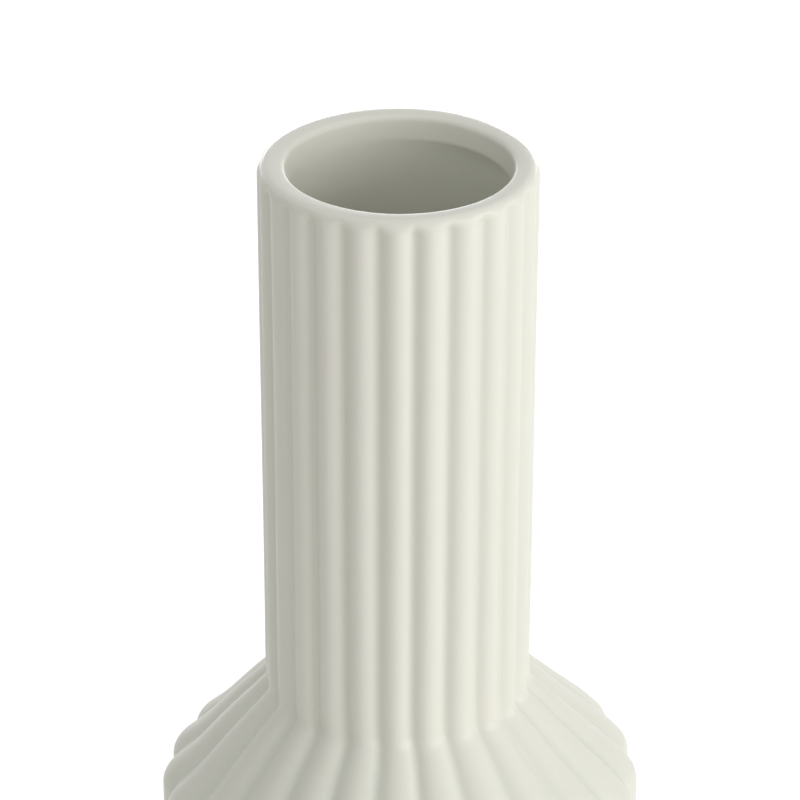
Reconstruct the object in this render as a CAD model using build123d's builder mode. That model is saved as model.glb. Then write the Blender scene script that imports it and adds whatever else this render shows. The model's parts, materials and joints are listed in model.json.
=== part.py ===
from build123d import *
from math import atan2, cos, degrees, pi, radians, sin, tan
import os

# Reeded bottle vase: one slip-cast stoneware vessel on self-adhesive felt pads.
# A straight reeded neck stands on a reeded conical shoulder over a reeded drum.
# Millimetres and degrees, +Z up, origin on the table under the middle of the vase.

# Driving heights
total_height = 305.0
neck_length = 153.7
shoulder_drop = 31.5
floor_thickness = 7.0

# Driving radii, over the rib crests
neck_radius = 36.0
body_radius = 66.0

# Reeding: every rib runs unbroken from the foot, over the shoulder and up the neck
rib_count = 24
neck_groove_depth = 1.8
body_groove_depth = 2.64
groove_runout = 8.0
groove_trace = 0.1

# Roundings and the shoulder of the crest line, and the straight steps that each is lofted in
lip_edge_radius = 3.0
lip_steps = 3
runout_steps = 2
corner_radius = 4.0
corner_steps = 2
shoulder_steps = 3
edge_radius = 9.0
edge_steps = 3
foot_edge_radius = 4.0
foot_steps = 2

# Walls, measured in from the crests, and the hollow inside
throat_wall = 7.6
throat_length = 2.8
mouth_flare = 1.45
lip_inner_edge_radius = 1.8
collar_depth = 6.7
collar_step = 0.9
collar_edge_bevel = 0.4
body_wall = 7.0
hollow_floor_bevel = 8.0

# Foot ring under the drum, and what is stuck to it
foot_ring_width = 20.0
foot_recess = 2.0
foot_recess_bevel = 0.8
pad_count = 4
pad_radius = 6.0
pad_thickness = 2.0
adhesive_radius = 5.6
adhesive_thickness = 0.2

# Levels and angles that follow from the sizes above
foot_level = pad_thickness + adhesive_thickness
corner_level = total_height - neck_length
edge_level = corner_level - shoulder_drop
shoulder_slope = degrees(atan2(shoulder_drop, body_radius - neck_radius))
shoulder_turn = 90 - shoulder_slope
foot_ring_outer = body_radius - foot_edge_radius
foot_ring_inner = foot_ring_outer - foot_ring_width


def polar(radius, angle):
    """Point at a radius and an angle in radians."""
    return (radius * cos(angle), radius * sin(angle))


def rounding(centre, radius, start, end, steps):
    """Points (radius, height) along an arc of the crest line, both ends included."""
    angles = [radians(start + (end - start) * step / steps) for step in range(steps + 1)]
    return [(centre[0] + radius * cos(a), centre[1] + radius * sin(a)) for a in angles]


def parting(start, end, steps):
    """Points that part a straight run of the crest line, both ends left out."""
    shares = [step / steps for step in range(1, steps)]
    return [(start[0] + (end[0] - start[0]) * s, start[1] + (end[1] - start[1]) * s) for s in shares]


def crest_line():
    """Crest of a rib as (radius, height) points, from the lip down to the foot."""
    lip_centre = (neck_radius - lip_edge_radius, total_height - lip_edge_radius)
    corner_tangent = corner_radius * tan(radians(shoulder_turn / 2))
    corner_centre = (neck_radius + corner_radius, corner_level + corner_tangent)
    edge_tangent = edge_radius * tan(radians(shoulder_turn / 2))
    edge_centre = (body_radius - edge_radius, edge_level - edge_tangent)
    foot_centre = (foot_ring_outer, foot_level + foot_edge_radius)
    lip = rounding(lip_centre, lip_edge_radius, 90, 0, lip_steps)
    runout_end = (neck_radius, total_height - groove_runout)
    corner = rounding(corner_centre, corner_radius, 180, 180 + shoulder_turn, corner_steps)
    edge = rounding(edge_centre, edge_radius, shoulder_turn, 0, edge_steps)
    return [
        *lip,
        *parting(lip[-1], runout_end, runout_steps),
        runout_end,
        *corner,
        *parting(corner[-1], edge[0], shoulder_steps),
        *edge,
        (body_radius, foot_level + groove_runout),
        *rounding(foot_centre, foot_edge_radius, 0, -90, foot_steps),
    ]


def groove_depth(crest):
    """Full depth of the grooves, growing from the neck out to the drum."""
    growth = (body_groove_depth - neck_groove_depth) / (body_radius - neck_radius)
    return neck_groove_depth + growth * (crest - neck_radius)


def groove_share(height):
    """Share of the full groove depth, running out towards the lip and the foot."""
    from_end = min(total_height - height, height - foot_level)
    return min(1.0, max(groove_trace, from_end / groove_runout))


def reeded_slice(crest, height):
    """Sketch a level slice: a ring of round ribs that meet in narrow valleys."""
    valley = crest - groove_depth(crest) * groove_share(height)
    half_pitch = pi / rib_count
    with BuildSketch(Plane.XY.offset(height)) as level_slice:
        with BuildLine():
            for index in range(rib_count):
                middle = 2 * half_pitch * index
                ThreePointArc(
                    polar(valley, middle - half_pitch),
                    polar(crest, middle),
                    polar(valley, middle + half_pitch),
                )
        make_face()
    return level_slice.sketch


# Hollow of the vessel: drum, shoulder parallel to the outside, and neck
throat_radius = neck_radius - throat_wall
hollow_neck_radius = throat_radius + collar_step
hollow_body_radius = body_radius - body_wall
hollow_floor = foot_level + floor_thickness
collar_level = total_height - collar_depth
slope_rise = tan(radians(shoulder_slope))
shoulder_sink = body_wall / cos(radians(shoulder_slope))
hollow_corner = corner_level + (neck_radius - hollow_neck_radius) * slope_rise - shoulder_sink
hollow_edge = corner_level - (hollow_body_radius - neck_radius) * slope_rise - shoulder_sink

# The vessel: reeded outside in one loft, then hollowed, with a flared collar inside the lip
slices = [reeded_slice(crest, height) for crest, height in crest_line()]
with BuildPart() as vessel:
    loft(slices, ruled=True)
    with BuildSketch(Plane.XZ):
        with BuildLine():
            Polyline(
                (0, hollow_floor),
                (hollow_body_radius - hollow_floor_bevel, hollow_floor),
                (hollow_body_radius, hollow_floor + hollow_floor_bevel),
                (hollow_body_radius, hollow_edge),
                (hollow_neck_radius, hollow_corner),
                (hollow_neck_radius, collar_level),
                (throat_radius + collar_edge_bevel, collar_level),
                (throat_radius, collar_level + collar_edge_bevel),
                (throat_radius, collar_level + throat_length),
                (throat_radius + mouth_flare, total_height),
                (0, total_height),
                close=True,
            )
        make_face()
    revolve(axis=Axis.Z, mode=Mode.SUBTRACT)
    lip_face = vessel.faces().sort_by(Axis.Z)[-1]
    fillet(lip_face.inner_wires()[0].edges(), lip_inner_edge_radius)
    with BuildSketch(Plane.XY.offset(foot_level)):
        Circle(foot_ring_inner)
    extrude(amount=foot_recess, mode=Mode.SUBTRACT)
    foot_face = vessel.faces().sort_by(Axis.Z)[0]
    chamfer(foot_face.inner_wires()[0].edges(), foot_recess_bevel)

vessel.part.label = "vessel"

# Felt pads on the foot ring, each held by its own disc of adhesive film
pad_circle = (foot_ring_inner + foot_ring_outer) / 2
pad_places = PolarLocations(pad_circle, pad_count, start_angle=180 / pad_count)

os.makedirs("parts", exist_ok=True)
export_step(vessel.part, "parts/vessel.step")

for number, place in enumerate(pad_places, start=1):
    with BuildPart(Plane(place)) as foot_pad:
        Cylinder(pad_radius, pad_thickness, align=(Align.CENTER, Align.CENTER, Align.MIN))
    foot_pad.part.label = f"foot_pad_{number}"
    export_step(foot_pad.part, f"parts/foot_pad_{number}.step")

    with BuildPart(Plane(place).offset(pad_thickness)) as pad_adhesive:
        Cylinder(
            adhesive_radius,
            adhesive_thickness,
            align=(Align.CENTER, Align.CENTER, Align.MIN),
        )
    pad_adhesive.part.label = f"pad_adhesive_{number}"
    export_step(pad_adhesive.part, f"parts/pad_adhesive_{number}.step")
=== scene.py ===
# %% [markdown]
# # A reeded bottle vase in white glazed stoneware
# The vase is one hollow casting: a straight ribbed neck on a ribbed conical shoulder over a ribbed drum. It stands on
# four felt pads. This lesson dresses the measured solids of that vase for a picture: it models the glazed surface as
# one fine mesh, gives the felt its soft edge, writes the materials as nodes, and sets light and camera.

# %% Load the measured solids
import json
import math

import bpy
import numpy as np
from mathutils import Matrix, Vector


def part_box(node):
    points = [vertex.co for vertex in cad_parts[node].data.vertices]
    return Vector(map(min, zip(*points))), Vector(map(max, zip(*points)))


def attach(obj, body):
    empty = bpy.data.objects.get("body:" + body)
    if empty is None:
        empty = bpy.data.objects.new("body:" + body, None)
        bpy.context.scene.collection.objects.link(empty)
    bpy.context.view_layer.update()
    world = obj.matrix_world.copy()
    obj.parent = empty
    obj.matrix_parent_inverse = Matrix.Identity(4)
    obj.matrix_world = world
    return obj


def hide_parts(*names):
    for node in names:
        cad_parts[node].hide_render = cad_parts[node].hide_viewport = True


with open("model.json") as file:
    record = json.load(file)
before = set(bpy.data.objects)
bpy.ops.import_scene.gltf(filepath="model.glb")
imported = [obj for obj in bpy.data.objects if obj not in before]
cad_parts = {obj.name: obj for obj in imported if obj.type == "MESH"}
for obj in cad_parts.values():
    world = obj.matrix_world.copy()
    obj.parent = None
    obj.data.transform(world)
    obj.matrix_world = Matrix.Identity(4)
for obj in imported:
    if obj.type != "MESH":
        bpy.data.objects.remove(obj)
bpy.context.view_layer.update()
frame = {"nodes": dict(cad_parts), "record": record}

print("solids:", sorted(frame["nodes"]))

# %% [markdown]
# ## Sizes
# Everything below is worked out in millimetres, as a potter would measure it, and turned to metres only when a mesh is
# written. What the solids already say is read from them. The rest are the measures of the ribbed form itself.

# %% Sizes of the vase
MM = 0.001
vessel_low, vessel_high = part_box("vessel")
mouth = next(m for m in frame["record"]["mounts"] if m["name"] == "mouth")

TOTAL_HEIGHT = vessel_high.z / MM
FOOT_LEVEL = vessel_low.z / MM
WARP = 0.10
BODY_RADIUS = (vessel_high.x - vessel_low.x) / 2 / MM - 2 * WARP
THROAT_RADIUS = mouth["dims"]["r_mm"]
NECK_RADIUS = 36.0
NECK_LENGTH = 153.7
SHOULDER_DROP = 31.5
RIB_COUNT = 24

CORNER_LEVEL = TOTAL_HEIGHT - NECK_LENGTH
EDGE_LEVEL = CORNER_LEVEL - SHOULDER_DROP
SHOULDER_SLOPE = math.atan2(SHOULDER_DROP, BODY_RADIUS - NECK_RADIUS)
SHOULDER_TURN = math.pi / 2 - SHOULDER_SLOPE
print("shoulder falls at", round(math.degrees(SHOULDER_SLOPE), 1), "degrees")

# %% [markdown]
# ## The line of a rib's crest
# A thrown or cast pot is easiest to think of as a line turned about its axis. Here the line is the crest of one rib,
# from the foot ring, up the drum, over the shoulder, up the neck and over the lip. It could be a curve object with a
# Screw modifier, but the ribs change depth along the way, so plain points are kept and the rings are made by hand.
# Straight runs are cut into short steps, so that the surface can later be a little uneven, as fired clay is.

# %% Points along lines and arcs
RING_STEP = 5.0


def run(start, end, step=RING_STEP):
    """Points from start up to, but not including, end."""
    count = max(1, round(math.dist(start, end) / step))
    return [tuple(a + (b - a) * i / count for a, b in zip(start, end)) for i in range(count)]


def arc(centre, radius, start, end, steps):
    """Points on an arc between two angles in degrees, both ends included."""
    angles = [math.radians(start + (end - start) * i / steps) for i in range(steps + 1)]
    return [(centre[0] + radius * math.cos(a), centre[1] + radius * math.sin(a)) for a in angles]


# %% The outside, from the foot ring to the lip
FOOT_EDGE_RADIUS = 4.0
FOOT_RING_WIDTH = 20.0
FOOT_RECESS = 2.0
FOOT_RECESS_BEVEL = 0.8
EDGE_RADIUS = 9.0
CORNER_RADIUS = 4.5
LIP_EDGE_RADIUS = 3.0
FINE_REACH = 12.0
FINE_STEP = 0.6
MIDDLE_RADIUS = 0.5
FOOT_STEPS, EDGE_STEPS, CORNER_STEPS, LIP_STEPS = 10, 14, 12, 12

turn = math.degrees(SHOULDER_TURN)
ring_outer = BODY_RADIUS - FOOT_EDGE_RADIUS
ring_inner = ring_outer - FOOT_RING_WIDTH
edge_tangent = EDGE_RADIUS * math.tan(SHOULDER_TURN / 2)
corner_tangent = CORNER_RADIUS * math.tan(SHOULDER_TURN / 2)

foot_arc = arc((ring_outer, FOOT_LEVEL + FOOT_EDGE_RADIUS), FOOT_EDGE_RADIUS, -90, 0, FOOT_STEPS)
edge_arc = arc((BODY_RADIUS - EDGE_RADIUS, EDGE_LEVEL - edge_tangent), EDGE_RADIUS, 0, turn, EDGE_STEPS)
corner_centre = (NECK_RADIUS + CORNER_RADIUS, CORNER_LEVEL + corner_tangent)
corner_arc = arc(corner_centre, CORNER_RADIUS, 180 + turn, 180, CORNER_STEPS)
lip_centre = (NECK_RADIUS - LIP_EDGE_RADIUS, TOTAL_HEIGHT - LIP_EDGE_RADIUS)
lip_arc = arc(lip_centre, LIP_EDGE_RADIUS, 0, 90, LIP_STEPS)

below_lip = (NECK_RADIUS, TOTAL_HEIGHT - FINE_REACH)
recess_level = FOOT_LEVEL + FOOT_RECESS

underside = [
    *run((MIDDLE_RADIUS, recess_level), (ring_inner - MIDDLE_RADIUS, recess_level)),
    (ring_inner, recess_level),
    (ring_inner, FOOT_LEVEL + FOOT_RECESS_BEVEL),
    (ring_inner + FOOT_RECESS_BEVEL, FOOT_LEVEL),
]
foot_ring = run((ring_inner + 2 * FOOT_RECESS_BEVEL, FOOT_LEVEL), foot_arc[0])
outside = [
    *foot_arc,
    *run(foot_arc[-1], edge_arc[0])[1:],
    *edge_arc,
    *run(edge_arc[-1], corner_arc[0])[1:],
    *corner_arc,
    *run(corner_arc[-1], below_lip)[1:],
    *run(below_lip, lip_arc[0], FINE_STEP),
    *lip_arc,
]
print("outside rings:", len(outside))

# %% [markdown]
# ## The line of the hollow
# Inside, the wall is smooth and follows the outside at a distance, because slip settles evenly on a plaster mould. The
# lip is different: its top sinks slightly inwards, its inner edge turns over in a tight rounding, and a short cone
# leads down to a throat. Just below it the wall steps back a little, where the trimmed lip ends and the bore widens.

# %% The inside, from the lip down to the floor
LIP_FLAT = 2.35
LIP_TILT = 11.0
INNER_EDGE_RADIUS = 1.8
INNER_EDGE_TURN = 80.0
LEDGE_STEP = 0.9
LEDGE_REACH = 1.8
LEDGE_SOFTNESS = 0.8
LEDGE_LENGTH = 14.0
BODY_WALL = 7.0
FLOOR_THICKNESS = 7.0
HOLLOW_FLOOR_RADIUS = 9.0
HOLLOW_EDGE_RADIUS = 8.0
HOLLOW_CORNER_RADIUS = 6.0
LIP_TOP_STEP = 0.4
MOUTH_STEP = 0.5
FLOOR_STEP = 6.0
INNER_EDGE_STEPS = 10
HOLLOW_STEPS = 8

throat_level = mouth["pos_m"][2] / MM - mouth["dims"]["length_mm"] / 2
hollow_neck = THROAT_RADIUS + LEDGE_STEP
hollow_body = BODY_RADIUS - BODY_WALL
hollow_floor = FOOT_LEVEL + FLOOR_THICKNESS
sink = BODY_WALL / math.cos(SHOULDER_SLOPE)
hollow_corner = CORNER_LEVEL + (NECK_RADIUS - hollow_neck) * math.tan(SHOULDER_SLOPE) - sink
hollow_edge = CORNER_LEVEL - (hollow_body - NECK_RADIUS) * math.tan(SHOULDER_SLOPE) - sink
inner_corner_tangent = HOLLOW_CORNER_RADIUS * math.tan(SHOULDER_TURN / 2)
inner_edge_tangent = HOLLOW_EDGE_RADIUS * math.tan(SHOULDER_TURN / 2)

flat_end = NECK_RADIUS - LIP_EDGE_RADIUS - LIP_FLAT
tilt = math.radians(LIP_TILT)
lip_sink = LIP_FLAT * math.tan(tilt) / 2
edge_centre = (
    flat_end + INNER_EDGE_RADIUS * math.sin(tilt),
    TOTAL_HEIGHT - lip_sink - INNER_EDGE_RADIUS * math.cos(tilt),
)
inner_edge = arc(edge_centre, INNER_EDGE_RADIUS, 90 + LIP_TILT, 90 + INNER_EDGE_TURN, INNER_EDGE_STEPS)
hollow_corner_centre = (hollow_neck + HOLLOW_CORNER_RADIUS, hollow_corner + inner_corner_tangent)
inner_corner_arc = arc(hollow_corner_centre, HOLLOW_CORNER_RADIUS, 180, 180 + turn, HOLLOW_STEPS)
hollow_edge_centre = (hollow_body - HOLLOW_EDGE_RADIUS, hollow_edge - inner_edge_tangent)
inner_edge_arc = arc(hollow_edge_centre, HOLLOW_EDGE_RADIUS, turn, 0, HOLLOW_STEPS)
floor_centre = (hollow_body - HOLLOW_FLOOR_RADIUS, hollow_floor + HOLLOW_FLOOR_RADIUS)
floor_arc = arc(floor_centre, HOLLOW_FLOOR_RADIUS, 0, -90, HOLLOW_STEPS)
lip_top = []
for radius, _ in run(lip_arc[-1], (flat_end, TOTAL_HEIGHT), LIP_TOP_STEP)[1:]:
    lip_top.append((radius, TOTAL_HEIGHT - lip_sink * ((lip_arc[-1][0] - radius) / LIP_FLAT) ** 2))
throat = run(inner_edge[-1], (THROAT_RADIUS, throat_level), MOUTH_STEP)[1:]
ledge = []
for below in np.arange(0, LEDGE_LENGTH, MOUTH_STEP):
    widened = 1 - math.exp(-below * below / (LEDGE_REACH * (below + LEDGE_SOFTNESS)))
    ledge.append((THROAT_RADIUS + LEDGE_STEP * widened, throat_level - below))
hollow = [
    *run((hollow_neck, throat_level - LEDGE_LENGTH), inner_corner_arc[0]),
    *inner_corner_arc,
    *run(inner_corner_arc[-1], inner_edge_arc[0])[1:],
    *inner_edge_arc,
    *run(inner_edge_arc[-1], floor_arc[0], FLOOR_STEP)[1:],
    *floor_arc,
    *run(floor_arc[-1], (MIDDLE_RADIUS, hollow_floor), FLOOR_STEP)[1:],
]
print("throat of", round(2 * THROAT_RADIUS, 1), "mm", round(TOTAL_HEIGHT - throat_level, 1), "mm below the lip")

# %% [markdown]
# ## The ribs
# Reeding is a ring of round ribs side by side. A rib is one arc. Glaze runs down into the valley between two ribs and
# fills its sharp bottom, so the valley is a small arc of the other sense, and the two arcs touch without a corner.
# A Displace modifier or a bump map could fake this, but real geometry gives the wavy outline that the vase shows.
# Towards the lip and the foot edge the grooves run out, and the end of each rib melts into the smooth rim.

# %% Shape of one slice through the ribs
NECK_GROOVE_DEPTH = 1.8
BODY_GROOVE_DEPTH = 2.64
NECK_VALLEY_RADIUS = 1.7
BODY_VALLEY_RADIUS = 2.0
GROOVE_START = 0.4
GROOVE_RUNOUT = 3.8
LEAST_GROOVE = 0.002
STEPS_PER_RIB = 15

SIDES = RIB_COUNT * STEPS_PER_RIB
angles = np.arange(SIDES) * 2 * math.pi / SIDES
half_pitch = math.pi / RIB_COUNT
from_crest = np.abs((angles + half_pitch) % (2 * half_pitch) - half_pitch)


def ease(share):
    """A soft step from 0 to 1."""
    share = min(1.0, max(0.0, share))
    return share * share * (3 - 2 * share)


def groove_at(crest, height):
    """Depth of the grooves and radius of their valleys where the crest has this radius and height."""
    out = min(1.0, max(0.0, (crest - NECK_RADIUS) / (BODY_RADIUS - NECK_RADIUS)))
    from_end = min(TOTAL_HEIGHT - height, height - FOOT_LEVEL)
    share = ease((from_end - GROOVE_START) / GROOVE_RUNOUT)
    depth = NECK_GROOVE_DEPTH + out * (BODY_GROOVE_DEPTH - NECK_GROOVE_DEPTH)
    valley = NECK_VALLEY_RADIUS + out * (BODY_VALLEY_RADIUS - NECK_VALLEY_RADIUS)
    return depth * share, valley


def reeded_radius(crest, depth, valley):
    """Radius of a reeded ring at every angle: a rib's arc, then the valley's arc that it touches."""
    valley_centre = crest - depth + valley
    valley_x = valley_centre * math.cos(half_pitch)
    valley_y = valley_centre * math.sin(half_pitch)
    spread = crest**2 + valley_centre**2 - 2 * crest * valley_x - valley**2
    rib = spread / (2 * (crest + valley - valley_x))
    rib_centre = crest - rib
    share = rib / (rib + valley)
    touch = math.atan2(valley_y * share, rib_centre * (1 - share) + valley_x * share)
    on_rib = rib_centre * np.cos(from_crest) + np.sqrt(np.maximum(0, rib**2 - (rib_centre * np.sin(from_crest)) ** 2))
    to_valley = half_pitch - from_crest
    under = np.maximum(0, valley**2 - (valley_centre * np.sin(to_valley)) ** 2)
    in_valley = valley_centre * np.cos(to_valley) - np.sqrt(under)
    return np.where(from_crest <= touch, on_rib, in_valley)


test_slice = reeded_radius(NECK_RADIUS, NECK_GROOVE_DEPTH, NECK_VALLEY_RADIUS)
print("neck slice from", round(test_slice.min(), 2), "to", round(test_slice.max(), 2), "mm")

# %% [markdown]
# ## Fired clay is never quite true
# A kiln softens the clay, so rings go slightly oval, the neck stands a hair to one side, the shoulder settles by a
# millimetre or two to the other, a rib wanders from its place and the rim sinks a little where it was held. Apart from
# that, a few slow waves of about a tenth of a millimetre are enough to break the look of a machined part. They are
# sines and soft bumps and not noise, so that the mesh closes on itself and is the same on every run. A bump is given by
# its angle round the vase and its spread, both in degrees.

# %% Unevenness of the fired clay
NECK_SHIFT = -0.83
LIP_SHIFT = -0.37
LIP_SWELL = 0.22
SHOULDER_LEAN = 1.45
SHOULDER_DELAY = 1.9
SHOULDER_TWIST = 0.45
RIB_TURN = -0.8
RIB_WANDER = -0.7
RIM_DENT = 0.40
DENT_DEPTH = 6.0
FRONT = (270, 45)
WANDERING_RIB = (287, 11)
DENTED_RIM = (42, 18)
OVAL_START, OVAL_RISE = 0.8, 70
WIDE_LUMP, WIDE_RISE = 0.6, 41
SMALL_LUMP, SMALL_RISE = 0.35, 23


def bump_at(middle, spread):
    """A soft bump of height 1 round the vase, centred on an angle in degrees."""
    away = (np.degrees(angles) - middle + 180) % 360 - 180
    return np.exp(-((away / spread) ** 2))


def on_shoulder(height):
    """1 towards the edge of the shoulder, 0 at its corner and from the drum down."""
    share = (CORNER_LEVEL - height) / (SHOULDER_DROP + edge_tangent)
    return math.sin(math.pi * min(1.0, max(0.0, share)) ** SHOULDER_DELAY) ** 2


def up_the_neck(height):
    """0 at the foot of the neck and below, 1 at the lip."""
    return max(0.0, height - CORNER_LEVEL) / NECK_LENGTH


def warp(height):
    """Change of radius in millimetres at every angle, for a ring at this height."""
    oval = np.sin(2 * angles + OVAL_START + height / OVAL_RISE)
    wide = WIDE_LUMP * np.sin(3 * angles - height / WIDE_RISE)
    small = SMALL_LUMP * np.sin(7 * angles + height / SMALL_RISE)
    return WARP * (oval + (wide + small))


def shift_at(height):
    """How far a ring of the neck stands to the side of the axis, in millimetres. From the shoulder down it is 0."""
    lean = NECK_SHIFT + (LIP_SHIFT - NECK_SHIFT) * up_the_neck(height)
    on_neck = ease((height - CORNER_LEVEL + CORNER_RADIUS) / (2 * CORNER_RADIUS))
    return lean * on_neck


def place_at(height):
    """Angle of every vertex in a ring at this height: the ribs wander a little from their even places."""
    wander = RIB_TURN + RIB_WANDER * bump_at(*WANDERING_RIB) + SHOULDER_TWIST * bump_at(*FRONT) * on_shoulder(height)
    return angles + np.radians(wander)


rim_drop = RIM_DENT * bump_at(*DENTED_RIM)
print("ribs wander by up to", abs(RIB_WANDER), "degrees, the rim sinks by up to", RIM_DENT, "mm")

# %% [markdown]
# ## The trimmed edge inside the mouth
# When the cast has set, the spare clay of the pouring hole is cut off and the rim is sponged. The cut leaves the small
# ledge under the throat: clear at the back right, where the knife stopped, and wiped away at the back left. A regular
# step would look turned on a lathe, so its depth changes round the ring. Each spot where it shows is a soft bump: its
# share of the full step, then its angle and its spread.

# %% Uneven ledge
STEP_REACH = 30.0
LEDGE_LEAST = 0.02
LEDGE_SPOTS = ((0.95, 45, 42), (0.25, 170, 14), (0.5, 270, 60))

ledge_share = np.full(SIDES, LEDGE_LEAST)
for share, middle, spread in LEDGE_SPOTS:
    ledge_share = ledge_share + share * bump_at(middle, spread)


def cut_share(height):
    """How much a ring shows of the trimmed form, at every angle. Far below the throat it shows all of it."""
    below = max(0.0, throat_level - height)
    return 1 - (1 - ledge_share) * math.exp(-below / STEP_REACH)


def in_the_mouth(radius, height):
    """Radii round a ring inside the neck: the trimmed form on one side, a wall wiped smooth on the other."""
    edge_radius, edge_level = inner_edge[-1]
    if height >= edge_level:
        return np.full(SIDES, radius)
    flare = edge_radius - THROAT_RADIUS
    reach = flare / math.tan(math.radians(90 - INNER_EDGE_TURN))
    wiped = THROAT_RADIUS + flare * math.exp(-(edge_level - height) / reach)
    return wiped + (radius - wiped) * cut_share(height)


def bore_painted_shade_share(height):
    """1 below the ledge, 0 above the throat, at every angle: the share of the inside that gets the painted shade."""
    return cut_share(height) * (height < throat_level)


print("ledge shows", round(ledge_share.min(), 2), "to", round(ledge_share.max(), 2), "of its step")

# %% [markdown]
# ## The vessel as one closed mesh
# Each point of the two lines becomes a ring of vertices, neighbouring rings are joined by quads, and the first and last
# rings close on a centre point. One mesh keeps the lip unbroken. What the glaze needs to know is stored on the mesh:
# the finish of each face as a material index, and three attributes of each vertex. They say how deep in a groove it
# lies, how glassy the rim is there, and how much of the painted shade of the inside below the ledge it gets.

# %% Rings to mesh
SHINE_DEPTH = 2.0
SHINE_FADE = 1.4
OUTER_EDGE_FADE = 1.7
GLAZE, BARE = range(2)
FLAT, REEDED, LIP, MOUTH = range(4)
rings = []
for points, finish, form in (
    (underside, BARE, FLAT),
    (foot_ring, BARE, FLAT),
    (outside, GLAZE, REEDED),
    (lip_top, GLAZE, LIP),
    (inner_edge, GLAZE, MOUTH),
    (throat, GLAZE, MOUTH),
    (ledge, GLAZE, MOUTH),
    (hollow, GLAZE, MOUTH),
):
    rings += [(radius, height, finish, form) for radius, height in points]


def ring_vertices(radius, height, form):
    """Vertices of one ring in metres, and the share of the groove's depth at each."""
    radii, heights, pooled, centre = np.full(SIDES, radius), np.full(SIDES, height), np.zeros(SIDES), 0.0
    if form == REEDED:
        depth, valley = groove_at(radius, height)
        radii = reeded_radius(radius, max(depth, LEAST_GROOVE), valley)
        pooled = (radius - radii) / BODY_GROOVE_DEPTH
        centre = shift_at(height)
        radii = radii + LIP_SWELL * up_the_neck(height) + SHOULDER_LEAN * on_shoulder(height) * np.cos(angles)
    if form == LIP:
        centre = shift_at(height) * (radius - flat_end) / LIP_FLAT
    if form == MOUTH:
        radii = in_the_mouth(radius, height)
    radii = radii + warp(height) * min(1.0, radius / THROAT_RADIUS)
    heights = heights - rim_drop * ease(1 - (TOTAL_HEIGHT - height) / DENT_DEPTH)
    places = place_at(height)
    x = radii * np.cos(places) + centre
    y = radii * np.sin(places)
    return np.column_stack([x, y, heights]) * MM, pooled


def rim_shine(height, form):
    """1 on the flat of the lip, where the glaze is glassy, fading to 0 over the turn of its two edges."""
    tightness = LIP_EDGE_RADIUS / INNER_EDGE_RADIUS if form == MOUTH else OUTER_EDGE_FADE
    return ease((SHINE_DEPTH - (TOTAL_HEIGHT - height) * tightness) / SHINE_FADE)


def build_vessel():
    """The whole vessel, from the middle of the underside round to the middle of its floor."""
    columns = [ring_vertices(radius, height, form) for radius, height, _, form in rings]
    vertices = np.concatenate([c[0] for c in columns])
    pooled = np.concatenate([c[1] for c in columns])
    shine = np.repeat([rim_shine(height, form) for _, height, _, form in rings], SIDES)
    # the bore mask says where the inside is darkened with painted shade
    bore = np.concatenate([bore_painted_shade_share(height) * (form == MOUTH) for _, height, _, form in rings])
    first_centre = len(vertices)
    ends = [(0, 0, rings[0][1] * MM), (0, 0, rings[-1][1] * MM)]
    vertices = np.concatenate([vertices, ends])
    pooled = np.concatenate([pooled, [0, 0]])
    shine = np.concatenate([shine, [0, 0]])
    bore = np.concatenate([bore, [0, 1]])
    faces, finishes = [], []
    for index in range(len(rings) - 1):
        low, high = index * SIDES, (index + 1) * SIDES
        for side in range(SIDES):
            after = (side + 1) % SIDES
            faces.append((low + side, low + after, high + after, high + side))
        finishes += [rings[index + 1][2]] * SIDES
    last = (len(rings) - 1) * SIDES
    for side in range(SIDES):
        after = (side + 1) % SIDES
        faces.append((first_centre, after, side))
        faces.append((first_centre + 1, last + side, last + after))
        finishes += [BARE, GLAZE]
    mesh = bpy.data.meshes.new("vessel_glazed")
    mesh.from_pydata(vertices.tolist(), [], faces)
    mesh.polygons.foreach_set("material_index", finishes)
    mesh.polygons.foreach_set("use_smooth", [True] * len(faces))
    for name, values in (("glaze_pool", pooled), ("glaze_shine", shine), ("bore_painted_shade", bore)):
        mesh.attributes.new(name, "FLOAT", "POINT").data.foreach_set("value", values.astype(np.float32))
    mesh.update()
    vessel = bpy.data.objects.new("vessel_glazed", mesh)
    bpy.context.scene.collection.objects.link(vessel)
    return vessel


vessel = build_vessel()
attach(vessel, "root")
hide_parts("vessel")
print("vessel:", len(vessel.data.vertices), "vertices,", len(vessel.data.polygons), "faces")

# %% [markdown]
# ## Two helpers for materials
# Colours are written as sRGB hex, the way a picture shows them, and shaders want linear light, so one function converts
# them. A second one adds a node, fills its sockets and links it, which keeps each material down to its own recipe.


# %% Colour and node helpers
def linear(hex_colour):
    """Linear RGBA of an sRGB hex colour such as 'EDEBE2'."""
    channels = [int(hex_colour[i : i + 2], 16) / 255 for i in (0, 2, 4)]
    return (*[c / 12.92 if c <= 0.04045 else ((c + 0.055) / 1.055) ** 2.4 for c in channels], 1.0)


def add(tree, kind, settings=None, **inputs):
    """Adds a node. Settings are its own options, inputs are values or links by socket name or number."""
    node = tree.nodes.new(kind)
    for option, value in (settings or {}).items():
        setattr(node, option, value)
    for key, value in inputs.items():
        name = key.replace("_", " ")
        socket = node.inputs[int(key[1:])] if key[1:].isdigit() else node.inputs[name]
        if isinstance(value, bpy.types.NodeSocket):
            tree.links.new(value, socket)
        else:
            socket.default_value = value
    return node


def new_material(name):
    """An empty node material and its output node."""
    material = bpy.data.materials.new(name)
    material.use_nodes = True
    material.node_tree.nodes.clear()
    return material, material.node_tree, material.node_tree.nodes.new("ShaderNodeOutputMaterial")


def per_mm(size):
    """Scale of a texture in object coordinates whose features are this many millimetres across."""
    return 1 / (size * MM)
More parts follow.
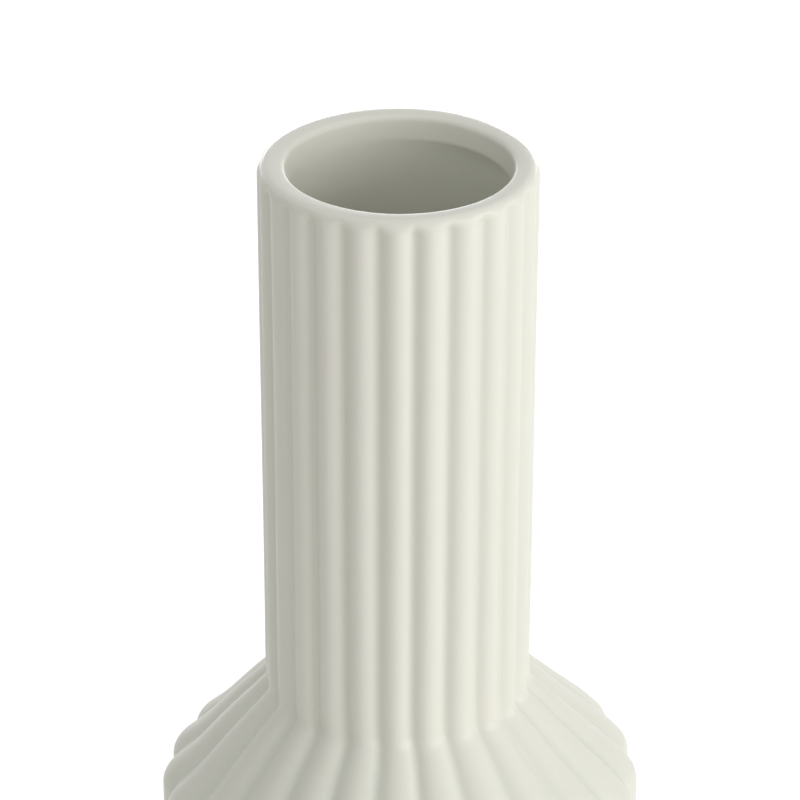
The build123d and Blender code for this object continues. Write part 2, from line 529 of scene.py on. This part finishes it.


# %% [markdown]
# ## White satin glaze
# The glaze is a tin-white stoneware glaze, dipped and fired: a thin glassy layer, opaque and slightly soft in its
# shine. It is a touch warmer in soft clouds and greyer where it pools in the grooves. Inside, from the ledge under the
# throat downwards, its colour is darker still: that is painted shade. Firing leaves a very faint orange-peel, too
# shallow to see except in the highlights. On the rim the glaze is thicker and melts to a glassy skin, which is the
# shader's
# clear coat: it has its own low roughness, so that the satin below stays the same everywhere and no line shows where
# the skin ends.

# %% Glaze recipe
GLAZE_WHITE = "EBECE0"
GLAZE_WARM = "ECE9DE"
GLAZE_POOLED = "E4E6DA"
# painted shade: the darker colour of the inside from the ledge down
BORE_PAINTED_SHADE = "E2E3D7"
CLOUD_SIZE = 28.0
PEEL_SIZE = 2.6
PEEL_HEIGHT = 0.02
RIM_ROUGHNESS = 0.11
RIM_COAT = 0.7
SATIN_LEVEL = 0.35
SATIN_ROUGHNESS = 0.38
SATIN_SPREAD = 0.04


def make_glaze(name, roughness):
    """Fired white glaze over stoneware, with clouding, pooling and orange-peel."""
    material, tree, output = new_material(name)
    place = add(tree, "ShaderNodeTexCoord").outputs["Object"]
    clouds = add(tree, "ShaderNodeTexNoise", Vector=place, Scale=per_mm(CLOUD_SIZE), Detail=3.0, Roughness=0.5)
    tint = add(
        tree, "ShaderNodeMix", {"data_type": "RGBA"}, i0=clouds.outputs["Fac"], i6=linear(GLAZE_WHITE),
        i7=linear(GLAZE_WARM),
    )
    pool = add(tree, "ShaderNodeAttribute", {"attribute_name": "glaze_pool"}).outputs["Fac"]
    pools = add(tree, "ShaderNodeMix", {"data_type": "RGBA"}, i0=pool, i6=tint.outputs[2], i7=linear(GLAZE_POOLED))
    # painted shade: the inside from the ledge down is mixed towards a darker colour
    bore = add(tree, "ShaderNodeAttribute", {"attribute_name": "bore_painted_shade"}).outputs["Fac"]
    colour = add(tree, "ShaderNodeMix", {"data_type": "RGBA"}, i0=bore, i6=pools.outputs[2], i7=linear(BORE_PAINTED_SHADE))
    peel = add(tree, "ShaderNodeTexNoise", Vector=place, Scale=per_mm(PEEL_SIZE), Detail=2.0, Roughness=0.45)
    bump = add(tree, "ShaderNodeBump", Strength=0.35, Distance=PEEL_HEIGHT * MM, Height=peel.outputs["Fac"])
    satin = add(
        tree, "ShaderNodeMapRange", Value=clouds.outputs["Fac"], From_Min=0.3, From_Max=0.7,
        To_Min=roughness - SATIN_SPREAD, To_Max=roughness + SATIN_SPREAD,
    )
    shine = add(tree, "ShaderNodeAttribute", {"attribute_name": "glaze_shine"}).outputs["Fac"]
    coat = add(tree, "ShaderNodeMath", {"operation": "MULTIPLY"}, i0=shine, i1=RIM_COAT)
    shader = add(
        tree, "ShaderNodeBsdfPrincipled", Base_Color=colour.outputs[2], Roughness=satin.outputs["Result"], IOR=1.5,
        Specular_IOR_Level=SATIN_LEVEL, Coat_Weight=coat.outputs[0], Coat_Roughness=RIM_ROUGHNESS, Coat_IOR=1.5,
        Normal=bump.outputs["Normal"],
    )
    tree.links.new(shader.outputs["BSDF"], output.inputs["Surface"])
    return material


white_glaze = make_glaze("white_satin_glaze", SATIN_ROUGHNESS)
print("glaze:", white_glaze.name, "with roughness", SATIN_ROUGHNESS)

# %% [markdown]
# ## Bare stoneware
# The foot ring is wiped clean of glaze before firing, or the pot would fuse to the kiln shelf. What shows there is
# fired clay: matt, a warm pale buff, with fine grit.

# %% Bare clay recipe
GRIT_SIZE = 0.7
GRIT_HEIGHT = 0.05
FIRING_CLOUD_SIZE = 18.0
CLAY_BUFF = "D8CFBF"
CLAY_DARK = "BFB4A1"

bare_clay, tree, output = new_material("bare_stoneware")
place = add(tree, "ShaderNodeTexCoord").outputs["Object"]
grit = add(tree, "ShaderNodeTexNoise", Vector=place, Scale=per_mm(GRIT_SIZE), Detail=4.0, Roughness=0.65)
body = add(tree, "ShaderNodeTexNoise", Vector=place, Scale=per_mm(FIRING_CLOUD_SIZE), Detail=2.0)
blend = add(tree, "ShaderNodeMath", {"operation": "MULTIPLY"}, i0=grit.outputs["Fac"], i1=body.outputs["Fac"])
colour = add(
    tree, "ShaderNodeMix", {"data_type": "RGBA"}, i0=blend.outputs[0], i6=linear(CLAY_BUFF), i7=linear(CLAY_DARK)
)
bump = add(tree, "ShaderNodeBump", Strength=0.5, Distance=GRIT_HEIGHT * MM, Height=grit.outputs["Fac"])
shader = add(
    tree, "ShaderNodeBsdfPrincipled", Base_Color=colour.outputs[2], Roughness=0.85, IOR=1.5,
    Normal=bump.outputs["Normal"],
)
tree.links.new(shader.outputs["BSDF"], output.inputs["Surface"])

for material in (white_glaze, bare_clay):
    vessel.data.materials.append(material)
print("vessel finishes:", [m.name for m in vessel.data.materials])

# %% [markdown]
# ## Felt pads
# The pads are punched from pressed wool felt. A punched disc keeps a soft, slightly bulged edge, and its lower face is
# pressed flat by the weight of the vase. A plain cylinder would look like plastic, so each pad is a turned form with a
# bulged side and a fuzzy surface.

# %% Model the felt pads
PAD_SIDES = 72
PAD_EDGE = 0.35
PAD_EDGE_STEPS = 4
PAD_STEP = 0.8
PAD_MIDDLE = 0.4
FUZZ = 0.06
WIDE_TUFTS, WIDE_SLANT = 23, 5
FINE_TUFTS, FINE_SLANT = 37, 9
FUZZ_FALLOFF = 6
PAD_PHASE = 1.7


def felt_disc(name, low, high, phase):
    """A felt disc in the box of its solid, with rounded edges, a fuzzed side and a flat foot."""
    centre = (low + high) / 2 / MM
    radius = (high.x - low.x) / 2 / MM
    thick = (high.z - low.z) / MM
    lower = arc((radius - PAD_EDGE, PAD_EDGE), PAD_EDGE, -90, 0, PAD_EDGE_STEPS)
    upper = arc((radius - PAD_EDGE, thick - PAD_EDGE), PAD_EDGE, 0, 90, PAD_EDGE_STEPS)
    line = [*run((PAD_MIDDLE, 0), lower[0], PAD_STEP), *lower, *run(lower[-1], upper[0], PAD_STEP / 2)[1:], *upper]
    line += [*run(upper[-1], (PAD_MIDDLE, thick), PAD_STEP)[1:], (PAD_MIDDLE, thick)]
    vertices, faces = [], []
    for row, (r, z) in enumerate(line):
        for side in range(PAD_SIDES):
            a = 2 * math.pi * side / PAD_SIDES
            wide = math.sin(WIDE_TUFTS * a + WIDE_SLANT * z + phase)
            fine = math.sin(FINE_TUFTS * a - FINE_SLANT * z + 2 * phase)
            fuzz = FUZZ * (wide + fine - 2) / 2
            out = r + fuzz * (r / radius) ** FUZZ_FALLOFF
            vertices.append(((centre.x + out * math.cos(a)) * MM, (centre.y + out * math.sin(a)) * MM, low.z + z * MM))
            after = (side + 1) % PAD_SIDES
            if row:
                below, here = (row - 1) * PAD_SIDES, row * PAD_SIDES
                faces.append((below + side, below + after, here + after, here + side))
    faces.append(tuple(reversed(range(PAD_SIDES))))
    faces.append(tuple(range((len(line) - 1) * PAD_SIDES, len(line) * PAD_SIDES)))
    mesh = bpy.data.meshes.new(name)
    mesh.from_pydata(vertices, [], faces)
    mesh.polygons.foreach_set("use_smooth", [True] * len(faces))
    pad = bpy.data.objects.new(name, mesh)
    bpy.context.scene.collection.objects.link(pad)
    return pad


pad_nodes = sorted(n for n in frame["nodes"] if n.startswith("foot_pad_"))
pads = []
for number, node in enumerate(pad_nodes):
    pad = felt_disc(node.replace("foot_pad", "felt_pad"), *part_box(node), phase=PAD_PHASE * number)
    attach(pad, "root")
    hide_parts(node)
    pads.append(pad)
print("felt pads:", [p.name for p in pads])

# %% [markdown]
# ## Pressed felt
# Felt is wool fibre matted under heat: dull, off-white, with short fibres in every direction. Two stretched noises at
# right angles stand for the fibres. They are drawn about three times coarser than wool, or they would not show.

# %% Felt recipe
FIBRE_WIDTH = 0.18
FIBRE_STRETCH = 0.2
FIBRE_HEIGHT = 0.08
FELT_SHADE = "B9B5AB"
FELT_LIGHT = "E2DFD6"

felt, tree, output = new_material("pressed_wool_felt")
place = add(tree, "ShaderNodeTexCoord").outputs["Object"]
along = add(tree, "ShaderNodeMapping", Vector=place, Scale=(1.0, FIBRE_STRETCH, 1.0))
across = add(tree, "ShaderNodeMapping", Vector=place, Scale=(FIBRE_STRETCH, 1.0, 1.0))
along_fibres = add(tree, "ShaderNodeTexNoise", Vector=along.outputs[0], Scale=per_mm(FIBRE_WIDTH), Detail=3.0)
across_fibres = add(tree, "ShaderNodeTexNoise", Vector=across.outputs[0], Scale=per_mm(FIBRE_WIDTH), Detail=3.0)
fibres = add(
    tree, "ShaderNodeMath", {"operation": "MAXIMUM"}, i0=along_fibres.outputs["Fac"], i1=across_fibres.outputs["Fac"]
)
colour = add(
    tree, "ShaderNodeMix", {"data_type": "RGBA"}, i0=fibres.outputs[0], i6=linear(FELT_SHADE), i7=linear(FELT_LIGHT)
)
bump = add(tree, "ShaderNodeBump", Strength=0.8, Distance=FIBRE_HEIGHT * MM, Height=fibres.outputs[0])
shader = add(
    tree, "ShaderNodeBsdfPrincipled", Base_Color=colour.outputs[2], Roughness=0.95, IOR=1.5, Sheen_Weight=0.2,
    Normal=bump.outputs["Normal"],
)
tree.links.new(shader.outputs["BSDF"], output.inputs["Surface"])
for pad in pads:
    pad.data.materials.append(felt)
print("felt fibres", FIBRE_WIDTH, "mm wide on", len(pads), "pads")

# %% [markdown]
# ## Adhesive film
# A fifth of a millimetre of double-sided film holds each pad. Its solid already has the right shape, so it only gets a
# finish: milky polyethylene, a little uneven where the adhesive wets the clay.

# %% Film recipe
WETTING_SIZE = 2.0
FILM_MILKY = "DCDAD2"
FILM_GREY = "C9C6BC"

film, tree, output = new_material("polyethylene_film")
place = add(tree, "ShaderNodeTexCoord").outputs["Object"]
wetting = add(tree, "ShaderNodeTexNoise", Vector=place, Scale=per_mm(WETTING_SIZE), Detail=2.0)
colour = add(
    tree, "ShaderNodeMix", {"data_type": "RGBA"}, i0=wetting.outputs["Fac"], i6=linear(FILM_MILKY), i7=linear(FILM_GREY)
)
shader = add(tree, "ShaderNodeBsdfPrincipled", Base_Color=colour.outputs[2], Roughness=0.5, IOR=1.51)
tree.links.new(shader.outputs["BSDF"], output.inputs["Surface"])
film_nodes = sorted(n for n in frame["nodes"] if n.startswith("pad_adhesive_"))
for node in film_nodes:
    frame["nodes"][node].data.materials.clear()
    frame["nodes"][node].data.materials.append(film)
print("film on:", film_nodes)

# %% [markdown]
# ## A white table and a white room
# The vase stands on a matt white table that runs out of sight. To the camera the table and the room read as plain
# white paper, while the light that falls on the vase stays at an ordinary level: a Light Path node adds brightness only
# for rays that come straight from the camera or by way of a shiny or clear surface. The table's shading stays under
# that, so it keeps the vase's shadow.

# %% Table and world
TABLE_REACH = 12.0
TABLE_LIFT = 0.60
ROOM_LIGHT = 0.36
PAPER_WHITE = "F2F1EE"


def seen_directly(tree):
    """Socket that is 1 for camera, glossy and transmission rays and 0 for all others."""
    path = add(tree, "ShaderNodeLightPath").outputs
    shiny = add(
        tree, "ShaderNodeMath", {"operation": "MAXIMUM"}, i0=path["Is Glossy Ray"], i1=path["Is Transmission Ray"]
    )
    return add(
        tree, "ShaderNodeMath", {"operation": "MAXIMUM"}, i0=path["Is Camera Ray"], i1=shiny.outputs[0]
    ).outputs[0]


table_mesh = bpy.data.meshes.new("table")
corners = [(x * TABLE_REACH, y * TABLE_REACH, 0) for x, y in ((-1, -1), (1, -1), (1, 1), (-1, 1))]
table_mesh.from_pydata(corners, [], [(0, 1, 2, 3)])
table = bpy.data.objects.new("table", table_mesh)
bpy.context.scene.collection.objects.link(table)

paper, tree, output = new_material("matt_white_paper")
lift = add(tree, "ShaderNodeMath", {"operation": "MULTIPLY"}, i0=seen_directly(tree), i1=TABLE_LIFT)
shader = add(
    tree, "ShaderNodeBsdfPrincipled", Base_Color=linear(PAPER_WHITE), Roughness=0.95, Specular_IOR_Level=0.2,
    Emission_Color=(1, 1, 1, 1), Emission_Strength=lift.outputs[0],
)
tree.links.new(shader.outputs["BSDF"], output.inputs["Surface"])
table_mesh.materials.append(paper)

world = bpy.data.worlds.new("white_room")
world.use_nodes = True
world.node_tree.nodes.clear()
tree = world.node_tree
strength = add(tree, "ShaderNodeMapRange", Value=seen_directly(tree), To_Min=ROOM_LIGHT, To_Max=1.0)
background = add(tree, "ShaderNodeBackground", Color=(1, 1, 1, 1), Strength=strength.outputs["Result"])
world_output = tree.nodes.new("ShaderNodeOutputWorld")
tree.links.new(background.outputs[0], world_output.inputs["Surface"])
bpy.context.scene.world = world
print("table", 2 * TABLE_REACH, "m wide, room light", ROOM_LIGHT)

# %% [markdown]
# ## Window, fill, ceiling and backdrop
# The shading of the vase comes from one broad light to the right and a little in front, like a wide, low window: the
# right half is evenly bright, each groove is shaded on its right-hand slope, and the left side falls off to the light
# of the room. A small lamp would give hard edges and a bright streak, so the light is as wide as it is far away. A weak
# sheet of light at the front softens the grooves, and one overhead lifts the lip, the shoulder and the inside of the
# mouth. A low strip behind the vase stands for a lit backdrop: it shows only as thin bright lines on the rim's edges.

# %% Sheets of light
WINDOW_AZIMUTH = 61.0
WINDOW_ELEVATION = 10.0
WINDOW_DISTANCE = 1.6
WINDOW_SIZE = (1.7, 1.0)
WINDOW_POWER = 13.6
FILL_AZIMUTH = 0.0
FILL_ELEVATION = 30.0
FILL_DISTANCE = 1.6
FILL_SIZE = (1.2, 1.2)
FILL_POWER = 2.0
CEILING_AZIMUTH = 0.0
CEILING_ELEVATION = 90.0
CEILING_HEIGHT = 1.7
CEILING_SIZE = (2.4, 2.4)
CEILING_POWER = 6.0
BACKDROP_AZIMUTH = 180.0
BACKDROP_ELEVATION = 3.0
BACKDROP_DISTANCE = 1.8
BACKDROP_SIZE = (2.4, 0.40)
BACKDROP_POWER = 6.2


def sheet_of_light(name, size, power, azimuth, elevation, distance, aim):
    """An area light that faces a point from an azimuth, counted from the front to the right, and an elevation."""
    data = bpy.data.lights.new(name, "AREA")
    data.shape = "RECTANGLE"
    data.size, data.size_y = size
    data.energy = power
    light = bpy.data.objects.new(name, data)
    bpy.context.scene.collection.objects.link(light)
    across, rise = math.radians(azimuth), math.radians(elevation)
    level = math.cos(rise)
    away = np.array([math.sin(across) * level, -math.cos(across) * level, math.sin(rise)])
    light.location = aim + distance * away
    light.rotation_euler = (math.pi / 2 - rise, 0, across)
    return light


middle_of_neck = np.array([0, 0, (TOTAL_HEIGHT - NECK_LENGTH / 2) * MM])
lights = [
    sheet_of_light(
        "window", WINDOW_SIZE, WINDOW_POWER, WINDOW_AZIMUTH, WINDOW_ELEVATION, WINDOW_DISTANCE, middle_of_neck
    ),
    sheet_of_light("fill", FILL_SIZE, FILL_POWER, FILL_AZIMUTH, FILL_ELEVATION, FILL_DISTANCE, middle_of_neck),
    sheet_of_light(
        "ceiling", CEILING_SIZE, CEILING_POWER, CEILING_AZIMUTH, CEILING_ELEVATION, CEILING_HEIGHT, np.zeros(3)
    ),
    sheet_of_light(
        "backdrop", BACKDROP_SIZE, BACKDROP_POWER, BACKDROP_AZIMUTH, BACKDROP_ELEVATION, BACKDROP_DISTANCE,
        middle_of_neck,
    ),
]
for light in lights:
    print(light.name, "at", [round(v, 2) for v in light.location])

# %% [markdown]
# ## The camera
# The camera looks down on the lip from the front. How round the mouth looks gives the angle, and how much the neck
# narrows towards its foot gives the distance. The rim's centre sits above the middle of the picture, so the lens points
# a few degrees below it.

# %% Camera
PICTURE = 800
RIM_ROW = 161.7
FOCAL_PIXELS = 3697.0
CAMERA_DISTANCE = 0.9414
CAMERA_ELEVATION = math.radians(24.4)
SENSOR = 36.0

camera_data = bpy.data.cameras.new("camera")
camera_data.sensor_width = SENSOR
camera_data.lens = FOCAL_PIXELS / PICTURE * SENSOR
camera = bpy.data.objects.new("camera", camera_data)
bpy.context.scene.collection.objects.link(camera)
camera.location = (
    0,
    -CAMERA_DISTANCE * math.cos(CAMERA_ELEVATION),
    TOTAL_HEIGHT * MM + CAMERA_DISTANCE * math.sin(CAMERA_ELEVATION),
)
pitch = CAMERA_ELEVATION + math.atan((PICTURE / 2 - RIM_ROW) / FOCAL_PIXELS)
camera.rotation_euler = (math.pi / 2 - pitch, 0, 0)
bpy.context.scene.camera = camera
bpy.context.scene.view_settings.view_transform = "Standard"
print("lens", round(camera_data.lens, 1), "mm, looking down", round(math.degrees(pitch), 2), "degrees")
